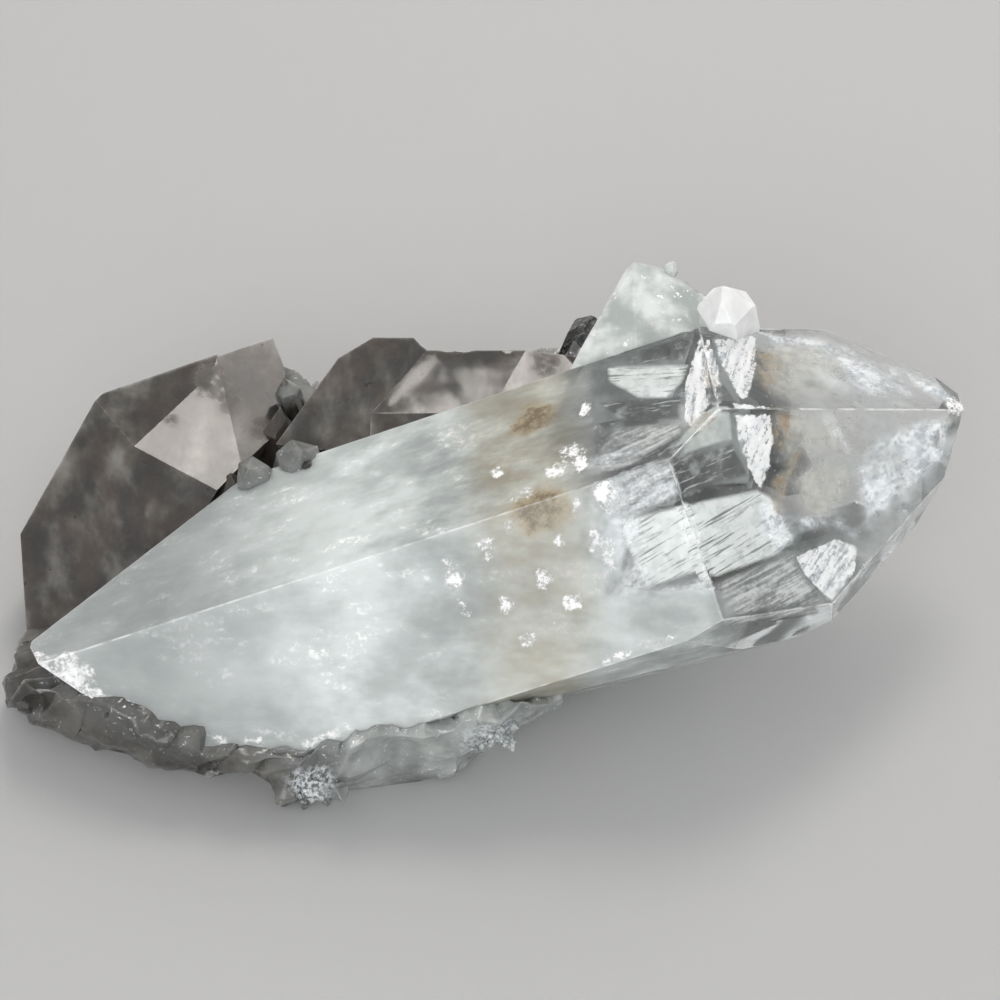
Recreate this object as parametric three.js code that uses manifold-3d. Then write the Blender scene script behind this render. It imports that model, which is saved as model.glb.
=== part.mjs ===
// A quartz cluster: one long main crystal lies on a broken milky root, tip raised to the right,
// with a stout smoky crystal at its left and smaller crystals along its back.
// Millimetres, +Z up, +X along the main crystal's length towards its tip, -Y at the front.
// Shapes are set out about a point inside the main crystal. At the end the group is moved,
// so that the origin is under the middle of the cluster, on the surface it rests on.
import * as THREE from "three";
import Module from "manifold-3d";

const wasm = await Module();
wasm.setup();

// Driving dimensions
const FLOOR = -28; // the resting surface, below the setting-out point
const GAP = 0.3; // between one crystal and the next
const TIP_ANGLE = 51.8; // between a quartz crystal's long axis and the way its tip faces look
const BEYOND = 200; // further out than any of the cluster
const NEARLY_NOTHING = 1e-6; // what a distance or a share may be off by
const CORNERS_PER_MM = 1000; // corners that round to the same place at this fineness are one

// The main crystal. Prism faces run round the axis in steps of 60 degrees, from the one on top,
// and each has a tip face beyond it. All distances are from the crystal's own centre.
const MAIN = {
  centre: [-3.3, -2.8, -10.0],
  azimuth: 8,
  tilt: 18.5,
  roll: -12,
  prism: [13.5, 14.1, 19.4, 17.4, 19.0, 20.3],
  tips: [33.1, 29.1, 39.3, 47.2, 53.6, 47.7],
};

// A small point is a little uneven. These are shares of its tip and side distances, face by face.
const TIP_SHARES = [1, 0.97, 1.03, 0.98, 1.04, 0.99];
const SIDE_SHARES = [1, 0.92, 1.05, 0.96, 1.02, 0.9];

// A druse is a clump of small points set out on a spiral, leaning out from its middle.
const GOLDEN_TURN = Math.PI * (3 - Math.sqrt(5));
const DRUSE_LEAN = 40; // degrees, at the clump's edge
const DRUSE_SCATTER = 20; // degrees, from the least to the most
const DRUSE_SIZES = [0.7, 1.3]; // the smallest and the largest point, as a share of the usual one

const COLOURS = {
  clear: { color: 0xdfe6e2, roughness: 0.12, metalness: 0 },
  smoky: { color: 0x9b8f86, roughness: 0.14, metalness: 0 },
  milky: { color: 0xb9bdb6, roughness: 0.55, metalness: 0 },
};

// A repeatable random number from 0 to 1, for the broken shapes.
function dice(seed) {
  let state = seed * 7919 + 17;
  return () => {
    state = (state * 48271) % 2147483647;
    return state / 2147483647;
  };
}

function place(point) {
  return new THREE.Vector3(...point);
}

function direction(azimuth, elevation) {
  const a = THREE.MathUtils.degToRad(azimuth);
  const e = THREE.MathUtils.degToRad(elevation);
  return new THREE.Vector3(Math.cos(e) * Math.cos(a), Math.cos(e) * Math.sin(a), Math.sin(e));
}

// A flat face that looks along azimuth and elevation, at a distance from the crystal's centre.
function face(azimuth, elevation, distance) {
  return { normal: direction(azimuth, elevation), distance };
}

// A flat face that passes through a point and looks along azimuth and elevation.
function faceThrough(centre, point, azimuth, elevation) {
  const normal = direction(azimuth, elevation);
  return { normal, distance: place(point).sub(place(centre)).dot(normal) };
}

// A flat face that holds a straight edge and looks as nearly as it can along azimuth and elevation.
function faceAlong(centre, start, end, azimuth, elevation) {
  const edge = place(end).sub(place(start)).normalize();
  const look = direction(azimuth, elevation);
  const normal = look.addScaledVector(edge, -look.dot(edge)).normalize();
  return { normal, distance: place(start).sub(place(centre)).dot(normal) };
}

// The point where three faces meet, or null where they are nearly parallel.
function corner(a, b, c) {
  const bc = b.normal.clone().cross(c.normal);
  const share = a.normal.dot(bc);
  if (Math.abs(share) < NEARLY_NOTHING) return null;
  const ca = c.normal.clone().cross(a.normal);
  const ab = a.normal.clone().cross(b.normal);
  return bc
    .multiplyScalar(a.distance)
    .addScaledVector(ca, b.distance)
    .addScaledVector(ab, c.distance)
    .divideScalar(share);
}

function isInside(point, faces) {
  return faces.every((f) => f.normal.dot(point) <= f.distance + NEARLY_NOTHING);
}

// The flat-faced solid that lies behind all of the faces. grow moves every face outwards.
function crystalSolid(centre, faces, grow = 0) {
  const sides = faces.map((f) => ({ normal: f.normal, distance: f.distance + grow }));
  const corners = new Map();
  const rings = sides.map(() => new Map());
  for (let i = 0; i < sides.length; i++)
    for (let j = i + 1; j < sides.length; j++)
      for (let k = j + 1; k < sides.length; k++) {
        const point = corner(sides[i], sides[j], sides[k]);
        if (!point || !isInside(point, sides)) continue;
        const key = point.toArray().map((v) => Math.round(v * CORNERS_PER_MM)).join();
        if (!corners.has(key)) corners.set(key, { index: corners.size, point });
        for (const side of [i, j, k]) rings[side].set(key, corners.get(key));
      }
  const triangles = [];
  sides.forEach((side, i) => triangles.push(...fan(side.normal, [...rings[i].values()])));
  const vertices = [...corners.values()].flatMap(({ point }) =>
    point.clone().add(place(centre)).toArray(),
  );
  return solid(new Float32Array(vertices), new Uint32Array(triangles));
}

// Triangles of one flat face, from its corners put in order round its middle.
function fan(normal, ring) {
  if (ring.length < 3) return [];
  const middle = ring.reduce((sum, r) => sum.add(r.point), new THREE.Vector3()).divideScalar(ring.length);
  const across = ring[0].point.clone().sub(middle).normalize();
  const up = normal.clone().cross(across);
  const angle = (r) => {
    const arm = r.point.clone().sub(middle);
    return Math.atan2(arm.dot(up), arm.dot(across));
  };
  const order = ring.map((r) => ({ index: r.index, at: angle(r) })).sort((a, b) => a.at - b.at);
  const triangles = [];
  for (let i = 1; i + 1 < order.length; i++)
    triangles.push(order[0].index, order[i].index, order[i + 1].index);
  return triangles;
}

function solid(vertProperties, triVerts) {
  return new wasm.Manifold(new wasm.Mesh({ numProp: 3, vertProperties, triVerts }));
}

// The six prism faces and six tip faces of a quartz crystal, and its root cut square to the axis.
function quartzFaces({ azimuth, tilt, roll, prism, tips, root }) {
  const axis = direction(azimuth, tilt);
  const up = new THREE.Vector3(0, 0, 1).addScaledVector(axis, -axis.z).normalize();
  const side = axis.clone().cross(up);
  const lean = THREE.MathUtils.degToRad(TIP_ANGLE);
  const faces = [];
  prism.forEach((distance, i) => {
    const turn = THREE.MathUtils.degToRad(roll + 60 * i);
    const out = up.clone().multiplyScalar(Math.cos(turn)).addScaledVector(side, Math.sin(turn));
    const tip = axis.clone().multiplyScalar(Math.cos(lean)).addScaledVector(out, Math.sin(lean));
    faces.push({ normal: out, distance });
    faces.push({ normal: tip, distance: tips[i] });
  });
  if (root !== undefined) faces.push({ normal: axis.clone().negate(), distance: root });
  return faces;
}

// A small quartz point: width is measured across its flats, and length from foot to apex.
function smallPoint(foot, azimuth, tilt, width, length, roll, grow = 0) {
  const half = width / 2;
  const reach = length * Math.cos(THREE.MathUtils.degToRad(TIP_ANGLE));
  const tips = TIP_SHARES.map((share) => reach * share);
  const prism = SIDE_SHARES.map((share) => half * share);
  return crystalSolid(foot, quartzFaces({ azimuth, tilt, roll, prism, tips, root: half }), grow);
}

function joined(solids) {
  return solids.reduce((sum, next) => sum.add(next));
}

// What is left of a solid after its neighbours are cut away, without the chips that fall off.
function cutBy(body, neighbours) {
  const rest = neighbours.reduce((sum, next) => sum.subtract(next), body);
  return rest.decompose().reduce((most, next) => (next.volume() > most.volume() ? next : most));
}

function aboveFloor(body) {
  const block = crystalSolid([0, 0, FLOOR], [
    face(0, 0, BEYOND),
    face(180, 0, BEYOND),
    face(90, 0, BEYOND),
    face(-90, 0, BEYOND),
    face(0, 90, BEYOND),
    face(0, -90, 0),
  ]);
  return body.intersect(block);
}

function mesh(name, body, look) {
  const { vertProperties, triVerts } = body.getMesh();
  const geometry = new THREE.BufferGeometry();
  geometry.setAttribute("position", new THREE.BufferAttribute(vertProperties, 3));
  geometry.setIndex(new THREE.BufferAttribute(triVerts, 1));
  const made = new THREE.Mesh(geometry, new THREE.MeshStandardMaterial(look));
  made.name = name;
  return made;
}

// The main crystal, cut off below and behind where it grew against the root.
const mainFaces = [
  ...quartzFaces(MAIN),
  faceThrough(MAIN.centre, [-46.4, -0.1, -11.8], 129, -16), // the long contact with the left crystal
  faceThrough(MAIN.centre, [-59.4, -14, -13.8], 180, -20), // the blunt left end
  faceThrough(MAIN.centre, [-50, -19.9, -16.2], -138, -42), // the broken lower left edge
  faceThrough(MAIN.centre, [-34.5, -24.3, -19], -93, -62), // the underside on the root
  faceThrough(MAIN.centre, [1.8, -23, -11.3], -74, -31), // the lower front edge
  faceThrough(MAIN.centre, [29, -17, -1.9], -68, -8), // a second low front face, beside the tip
  faceThrough(MAIN.centre, [0, 0, -24.5], -90, -88), // what lies on the root
];

// The left crystal: two individuals side by side that share their front face.
const LEFT_TIP = [-48, 15.1, -7];
const LEFT_FRONT = [[-35.2, 8.6, -9.1], -106, 52];
const leftOuterFaces = [
  faceThrough(LEFT_TIP, ...LEFT_FRONT),
  faceThrough(LEFT_TIP, LEFT_TIP, -31, 68), // the shaded top
  faceAlong(LEFT_TIP, [-53.6, 20.3, -4.3], [-62.2, 9.1, -14.4], 145, 5), // the long left edge
  faceAlong(LEFT_TIP, [-63.3, 6.3, -16.7], [-62.6, -1, -22], 180, 0), // the lower left edge
  faceAlong(LEFT_TIP, [-52.3, 22, -4], [-38.3, 31.7, -6.9], 115, -12), // the back
  faceThrough(LEFT_TIP, [-38.3, 31.7, -6.9], -10, -20), // hidden inside its neighbour
  faceThrough(LEFT_TIP, [-50, 10, -24], 0, -90),
];
const leftInnerFaces = [
  faceThrough(LEFT_TIP, ...LEFT_FRONT),
  faceThrough(LEFT_TIP, LEFT_TIP, -26, 81), // the bright facet
  faceThrough(LEFT_TIP, [-38.3, 31.7, -7.3], -2, 70), // the bright end facet
  faceAlong(LEFT_TIP, [-38.3, 31.7, -7.0], [-32, 37, -9.3], 120, -10), // the back
  faceAlong(LEFT_TIP, [-30.9, 36.2, -9.7], [-29.5, 32.4, -10.2], 30, -10),
  faceAlong(LEFT_TIP, [-29.5, 32.4, -10.2], [-28.7, 22.5, -10.7], 0, -8),
  faceAlong(LEFT_TIP, [-28.7, 22.5, -10.7], [-30.9, 18.8, -9.9], -40, -10),
  faceThrough(LEFT_TIP, [-62, 10, -20], 180, -10),
  faceThrough(LEFT_TIP, [-50, 10, -24], 0, -90),
];

// The crystal that lies behind, with a flat top.
const REAR_CENTRE = [-4, 22, -10];
const rearFaces = [
  faceThrough(REAR_CENTRE, [-9.2, 17.7, -3.4], -90, 89), // the flat top
  faceThrough(REAR_CENTRE, [-9.2, 17.7, -3.4], -90, 62), // the front slope
  faceAlong(REAR_CENTRE, [0.8, 25.5, -3.1], [-0.8, 21.3, -3.2], 10, 80), // the right half of the top
  faceAlong(REAR_CENTRE, [-9.8, 28.9, -3.1], [7.6, 28.9, -3.1], 90, -12), // the back
  faceAlong(REAR_CENTRE, [-9.8, 28.9, -3.1], [-16.9, 17.7, -3.4], 148, -14), // the slanting left end
  faceAlong(REAR_CENTRE, [-16.9, 17.7, -3.4], [-16.9, 14, -7], 180, -8),
  faceThrough(REAR_CENTRE, [14, 22, -8], 12, -4),
  faceThrough(REAR_CENTRE, [0, 10, -12], -90, -20),
  faceThrough(REAR_CENTRE, [0, 20, -19], 0, -90),
];

// The broken blade between the left crystal and the one behind.
const BLADE_CENTRE = [-17, 25, -12];
const bladeFaces = [
  faceThrough(BLADE_CENTRE, [-17.1, 19, -6.2], -111, 76), // the face on show
  faceAlong(BLADE_CENTRE, [-26.2, 21.6, -6.5], [-21.7, 28.6, -4.4], 150, -6),
  faceAlong(BLADE_CENTRE, [-21.7, 28.6, -4.4], [-17.1, 31.4, -3.3], 122, -10),
  faceAlong(BLADE_CENTRE, [-17.1, 31.4, -3.3], [-11.6, 31, -2.9], 90, -14),
  faceAlong(BLADE_CENTRE, [-11.6, 31, -2.9], [-9.8, 28.9, -3.2], 45, -10),
  faceThrough(BLADE_CENTRE, [-8, 24, -10], 0, 0),
  faceThrough(BLADE_CENTRE, [-18, 15, -10], -100, -20),
  faceThrough(BLADE_CENTRE, [-18, 25, -20], 0, -90),
];

// The pale crystal that stands behind the main one, point up.
const UPPER_APEX = [17.8, 31, 10.4];
const UPPER_CENTRE = [18, 26, -4];
const upperFaces = [
  faceThrough(UPPER_CENTRE, [17.2, 20, 6.3], -56, 66), // the broad front
  faceThrough(UPPER_CENTRE, UPPER_APEX, -124, 66), // the narrow left front
  faceThrough(UPPER_CENTRE, [16.8, 30.3, 9.8], 177, 51), // the strip down its left
  faceThrough(UPPER_CENTRE, [18.3, 30.9, 10.2], 32, 63), // the sliver on top
  faceAlong(UPPER_CENTRE, [15.9, 30.5, 9.1], [9.2, 19.3, 4.3], 165, -14),
  faceAlong(UPPER_CENTRE, [18.1, 32, 9.9], [21.8, 33, 8.1], 95, -6),
  faceAlong(UPPER_CENTRE, [21.8, 33, 8.1], [28, 29.1, 6.4], 60, -8),
  faceThrough(UPPER_CENTRE, [28.6, 28, 5], 0, -6),
  faceThrough(UPPER_CENTRE, [18, 12, 0], -90, -10),
  faceThrough(UPPER_CENTRE, [18, 26, -17], 0, -90),
];

const mainSolid = crystalSolid(MAIN.centre, mainFaces);
const mainRoom = crystalSolid(MAIN.centre, mainFaces, GAP);
const leftSolid = joined([
  crystalSolid(LEFT_TIP, leftOuterFaces),
  crystalSolid(LEFT_TIP, leftInnerFaces),
]);
const leftRoom = joined([
  crystalSolid(LEFT_TIP, leftOuterFaces, GAP),
  crystalSolid(LEFT_TIP, leftInnerFaces, GAP),
]);
const rearRoom = crystalSolid(REAR_CENTRE, rearFaces, GAP);
const bladeRoom = crystalSolid(BLADE_CENTRE, bladeFaces, GAP);
const upperRoom = crystalSolid(UPPER_CENTRE, upperFaces, GAP);

// The rim of the broken milky root, walked round from the left end by the front. Each row is
// where the rim meets the surface, then where it is highest.
const ROOT_RIM = [
  [[-61.0, -6.0], [-61.6, -8.0, -19.5]],
  [[-63.2, -10.5], [-62.8, -13.0, -19.6]],
  [[-60.5, -14.0], [-59.6, -16.8, -15.8]],
  [[-55.5, -17.0], [-54.0, -19.6, -15.0]],
  [[-50.5, -18.6], [-48.8, -21.0, -15.6]],
  [[-43.0, -20.5], [-41.5, -24.2, -18.0]],
  [[-37.0, -22.8], [-35.0, -25.6, -18.8]],
  [[-32.5, -21.5], [-28.5, -26.4, -18.4]],
  [[-26.0, -26.0], [-23.5, -26.4, -17.6]],
  [[-20.1, -24.9], [-18.0, -26.2, -16.2]],
  [[-10.3, -23.4], [-11.0, -25.6, -14.4]],
  [[-5.0, -21.6], [-4.4, -25.2, -13.4]],
  [[1.0, -15.6], [2.2, -23.2, -12.0]],
  [[4.5, -10.8], [7.4, -19.4, -14.2]],
  [[8.0, -6.0], [12.0, -15.8, -14.8]],
  [[12.0, -1.0], [17.5, -8.0, -16.0]],
  [[14.0, 7.0], [19.0, 6.0, -15.0]],
  [[21.0, 14.0], [26.5, 14.0, -11.0]],
  [[25.0, 23.0], [31.0, 24.5, -6.0]],
  [[20.0, 31.0], [24.5, 34.5, -7.0]],
  [[10.0, 33.5], [12.0, 37.0, -9.0]],
  [[0.0, 32.0], [0.5, 34.5, -10.5]],
  [[-9.0, 33.0], [-9.5, 34.0, -11.5]],
  [[-17.0, 34.0], [-18.0, 34.5, -12.5]],
  [[-25.0, 31.5], [-25.5, 31.0, -14.0]],
  [[-32.0, 35.5], [-32.0, 38.0, -16.0]],
  [[-41.0, 33.5], [-41.5, 35.0, -15.0]],
  [[-49.5, 26.5], [-50.0, 26.0, -15.0]],
  [[-54.5, 17.0], [-55.5, 17.0, -17.0]],
  [[-57.5, 7.5], [-58.5, 7.0, -21.5]],
  [[-59.5, 0.0], [-60.2, -1.5, -23.0]],
];
// The rings of its surface, from the foot inwards: how high up the rim, how far it bulges out,
// and what share of the way it is drawn in towards the middle.
const ROOT_RINGS = [
  [0, 0, 0],
  [0.3, 1.0, 0],
  [0.65, 1.2, 0],
  [1, 0.2, 0],
  [1, 0, 0.14],
  [1, 0, 0.4],
  [1, 0, 0.7],
];
const ROOT_MIDDLE = [-18, 4, -13.5];
const ROOT_BREAKS = 3; // how many facets each stretch of the rim is broken into
const ROOT_ROUGH = 0.9; // how far a corner of the broken surface is off the smooth one

// One ring of the root's surface. Height 0 is on the resting surface and 1 on the rim's crest.
function rootRing(height, bulge, shrink, throwDice) {
  const ring = [];
  const middle = place(ROOT_MIDDLE);
  const jitter = () => (throwDice() - 0.5) * 2 * ROOT_ROUGH;
  ROOT_RIM.forEach(([foot, crest], i) => {
    const [nextFoot, nextCrest] = ROOT_RIM[(i + 1) % ROOT_RIM.length];
    for (let k = 0; k < ROOT_BREAKS; k++) {
      const along = k / ROOT_BREAKS;
      const low = place([...foot, FLOOR]).lerp(place([...nextFoot, FLOOR]), along);
      const high = place(crest).lerp(place(nextCrest), along);
      const point = low.lerp(high, height);
      const out = point.clone().sub(middle).setZ(0).normalize();
      point.addScaledVector(out, bulge).lerp(middle, shrink);
      if (height > 0) point.add(new THREE.Vector3(jitter(), jitter(), jitter()));
      ring.push(point);
    }
  });
  return ring;
}

// The whole root: a low mound with a flat underside, a steep broken rim and an uneven top.
function rootMound() {
  const throwDice = dice(11);
  const rings = ROOT_RINGS.map((ring) => rootRing(...ring, throwDice));
  const count = rings[0].length;
  const points = rings.flat();
  const foot = points.push(place(ROOT_MIDDLE).setZ(FLOOR)) - 1;
  const top = points.push(place(ROOT_MIDDLE)) - 1;
  const triangles = [];
  for (let i = 0; i < count; i++) {
    const next = (i + 1) % count;
    triangles.push(foot, next, i);
    for (let r = 0; r + 1 < rings.length; r++) {
      const a = r * count + i;
      const b = r * count + next;
      triangles.push(a, b, b + count, a, b + count, a + count);
    }
    const last = (rings.length - 1) * count;
    triangles.push(last + i, last + next, top);
  }
  return solid(new Float32Array(points.flatMap((p) => p.toArray())), new Uint32Array(triangles));
}

// A clump of small points that stand on a patch of the root and lean outwards.
function druse(centre, azimuth, tilt, count, spread, width, length, seed) {
  const throwDice = dice(seed);
  const look = direction(azimuth, tilt);
  const across = direction(azimuth + 90, 0);
  const up = across.clone().cross(look).negate();
  const points = [];
  const [smallest, largest] = DRUSE_SIZES;
  const scatter = () => DRUSE_SCATTER * (throwDice() - 0.5);
  for (let i = 0; i < count; i++) {
    const turn = i * GOLDEN_TURN;
    const out = spread * Math.sqrt((i + 0.5) / count);
    const foot = place(centre)
      .addScaledVector(across, out * Math.cos(turn))
      .addScaledVector(up, out * Math.sin(turn));
    const lean = DRUSE_LEAN * (out / spread);
    const size = smallest + (largest - smallest) * throwDice();
    points.push(
      smallPoint(
        foot.toArray(),
        azimuth + lean * Math.cos(turn) + scatter(),
        tilt + lean * Math.sin(turn) + scatter(),
        width * size,
        length * size,
        60 * throwDice(),
      ),
    );
  }
  return joined(points);
}

// What stands on the root: the sugary clump at the front, and small points round the back.
const ROOT_POINTS = [
  druse([-23.4, -24.8, -23.6], -92, -12, 13, 2.0, 2.2, 4.3, 4),
  druse([-1.2, -22.6, -17.0], -85, 8, 10, 2.4, 1.5, 2.5, 9),
  smallPoint([-25.9, -21.4, -20.4], -100, -34, 6.0, 9.1, 10),
  smallPoint([-27.6, 14.6, -14], -60, 70, 5.6, 11.5, 20),
  smallPoint([-31.2, 13.4, -13], -110, 62, 4.4, 9.2, 45),
  smallPoint([-27.2, 25.0, -15.5], 160, 80, 3.2, 10.3, 5),
  druse([-18, 33.6, -21.5], 95, 4, 9, 4.0, 3.2, 5.5, 23),
  druse([-45, 30.5, -22], 125, 8, 9, 4.2, 3.6, 6.1, 31),
  druse([4, 34.0, -20.5], 85, 4, 10, 4.6, 3.4, 6.0, 47),
  druse([28, 19.5, -15], 5, 8, 8, 3.6, 3.0, 5.4, 59),
];

const rootSolid = cutBy(aboveFloor(joined([rootMound(), ...ROOT_POINTS])), [
  mainRoom,
  leftRoom,
  rearRoom,
  bladeRoom,
  upperRoom,
]);

// Two lone small points at the back, and a tiny one that grew on the upper crystal.
const CLEAR_POINT = [[8.4, 29.6, -13], 25, 70, 5.6, 14.4, 15];
const SIDE_POINT = [[31.6, 21.6, -1], 165, 77, 6.8, 17.0, 35];
const TINY_POINT = [[22.0, 31.5, 5.9], 60, 72, 1.7, 4.1, 12];

const clearPoint = cutBy(smallPoint(...CLEAR_POINT), [rearRoom, upperRoom]);
const clearPointRoom = smallPoint(...CLEAR_POINT, GAP);
const sidePoint = cutBy(smallPoint(...SIDE_POINT), [mainRoom, upperRoom]);
const root = cutBy(rootSolid, [clearPointRoom]);
const left = cutBy(leftSolid, [mainRoom]);
const rear = cutBy(crystalSolid(REAR_CENTRE, rearFaces), [mainRoom, upperRoom]);
const blade = cutBy(crystalSolid(BLADE_CENTRE, bladeFaces), [mainRoom, rearRoom, leftRoom]);
const upper = cutBy(crystalSolid(UPPER_CENTRE, upperFaces).add(smallPoint(...TINY_POINT)), [mainRoom]);

const group = new THREE.Group();
group.add(
  mesh("root", root, COLOURS.milky),
  mesh("main_crystal", mainSolid, COLOURS.clear),
  mesh("left_crystal", left, COLOURS.smoky),
  mesh("rear_crystal", rear, COLOURS.smoky),
  mesh("rear_blade", blade, COLOURS.smoky),
  mesh("upper_crystal", upper, COLOURS.clear),
  mesh("clear_point", clearPoint, COLOURS.clear),
  mesh("side_point", sidePoint, COLOURS.clear),
);

// The origin goes under the middle of the cluster, on the resting surface.
const box = new THREE.Box3().setFromObject(group);
const middle = box.getCenter(new THREE.Vector3());
group.position.set(-middle.x, -middle.y, -box.min.z);

export default group;
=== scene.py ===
"""The looks of a quartz cluster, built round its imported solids: crystals, root, veils, light and camera."""

import math

import bmesh
import bpy
import numpy as np
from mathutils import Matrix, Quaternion, Vector
from mathutils.bvhtree import BVHTree

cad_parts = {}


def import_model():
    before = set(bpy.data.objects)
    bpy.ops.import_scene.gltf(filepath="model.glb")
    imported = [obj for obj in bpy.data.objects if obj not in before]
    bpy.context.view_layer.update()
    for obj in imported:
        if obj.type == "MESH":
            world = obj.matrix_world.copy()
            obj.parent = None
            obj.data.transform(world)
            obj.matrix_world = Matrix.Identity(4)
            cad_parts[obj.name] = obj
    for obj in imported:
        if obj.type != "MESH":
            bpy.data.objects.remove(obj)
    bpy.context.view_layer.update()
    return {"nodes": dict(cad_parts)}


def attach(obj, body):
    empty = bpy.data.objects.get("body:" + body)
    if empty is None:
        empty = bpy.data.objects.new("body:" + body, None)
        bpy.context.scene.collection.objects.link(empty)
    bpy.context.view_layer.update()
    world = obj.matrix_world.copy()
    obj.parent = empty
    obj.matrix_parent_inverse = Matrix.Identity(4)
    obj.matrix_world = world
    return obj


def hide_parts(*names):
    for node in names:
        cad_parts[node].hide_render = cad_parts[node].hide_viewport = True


MM = 0.001
CUT_ROUNDS = 8  # enough to halve the longest edge down to the finest
IOR = 1.544  # quartz

# The point that the cluster's shapes are set out from, in the part's frame, in millimetres.
SETTING_OUT = Vector((2.272, -5.376, 28.0))

# Camera: it looks down at the setting-out point, along +Y.
CAMERA_DOWN = math.radians(50)
CAMERA_AWAY = 295 * MM
CAMERA_LENS = 85
CAMERA_SENSOR = 36

# The main crystal's long axis, through its centre, in setting-out millimetres.
MAIN_CENTRE = Vector((-3.3, -2.8, -10.0))
MAIN_AZIMUTH = math.radians(8)
MAIN_TILT = math.radians(18.5)
MAIN_AXIS = Vector(
    (
        math.cos(MAIN_TILT) * math.cos(MAIN_AZIMUTH),
        math.cos(MAIN_TILT) * math.sin(MAIN_AZIMUTH),
        math.sin(MAIN_TILT),
    )
)


def at(point):
    """A setting-out point in millimetres, as a place in the part's frame in metres."""
    return (Vector(point) + SETTING_OUT) * MM


def pixel_ray(x, y):
    """The camera's place, and the way it looks through a pixel of the 1000-pixel picture."""
    right = Vector((1, 0, 0))
    back = Vector((0, -math.cos(CAMERA_DOWN), math.sin(CAMERA_DOWN)))
    up = back.cross(right)
    span = CAMERA_SENSOR / CAMERA_LENS
    way = right * ((x - 500) / 1000 * span) + up * ((500 - y) / 1000 * span) - back
    return at((0, 0, 0)) + back * CAMERA_AWAY, way.normalized()


def surface_spot(x, y, node="main_crystal"):
    """Where the camera's ray through a pixel meets a CAD crystal."""
    eye, way = pixel_ray(x, y)
    return trees[node].ray_cast(eye, way)[0]


def inside_spot(x, y, depth, node="main_crystal"):
    """The place that shows at a pixel, depth millimetres into a crystal along the bent ray."""
    eye, way = pixel_ray(x, y)
    spot, normal, _, _ = trees[node].ray_cast(eye, way)
    facing = -way.dot(normal)
    bent = way / IOR + normal * (facing / IOR - math.sqrt(1 - (1 - facing**2) / IOR**2))
    _, _, _, room = trees[node].ray_cast(spot + bent * 0.01 * MM, bent)
    return spot + bent * min(depth * MM, DEEPEST_SHARE * room)


def pixels_of(points):
    """Where the camera sees each point, in millimetres, in pixels of the 1000-pixel picture."""
    back = np.array((0, -math.cos(CAMERA_DOWN), math.sin(CAMERA_DOWN)))
    up = np.array((0, math.sin(CAMERA_DOWN), math.cos(CAMERA_DOWN)))
    seen = points - np.array(SETTING_OUT)
    away = CAMERA_AWAY / MM - seen @ back
    scale = 1000 * CAMERA_LENS / CAMERA_SENSOR / away
    return np.stack([500 + seen[:, 0] * scale, 500 - (seen @ up) * scale], axis=1)


def smooth(low, high, value):
    """0 below low and 1 above high, with a soft step between."""
    t = np.clip((value - low) / (high - low), 0, 1)
    return t * t * (3 - 2 * t)


# How milky the main crystal is, from 0, clear, to 1: at its root, its middle, its window and its head.
MILK_ROOT = 1.0
MILK_MIDDLE = 0.66
MILK_WINDOW = 0.06
MILK_HEAD = 0.22

# How light the milk is, at these pixels across the picture, and where it turns beige.
TONE_AT = (40, 180, 330, 450, 600)
TONES = (0.35, 0.36, 0.95, 0.92, 1.0)
BEIGE_FROM = (440, 500)
BEIGE_TO = (560, 625)

# Rusty clouds in the main crystal, by the picture: x and y in pixels of 1000, radius in millimetres and
# strength.
STAINS = [
    (529, 423, 5.0, 1.0),
    (522, 430, 3.0, 0.8),
    (545, 512, 4.2, 1.0),
    (550, 522, 2.4, 0.8),
    (500, 470, 5.0, 0.35),
    (512, 450, 8.0, 0.2),
    (516, 550, 9.0, 0.2),
]

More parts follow.
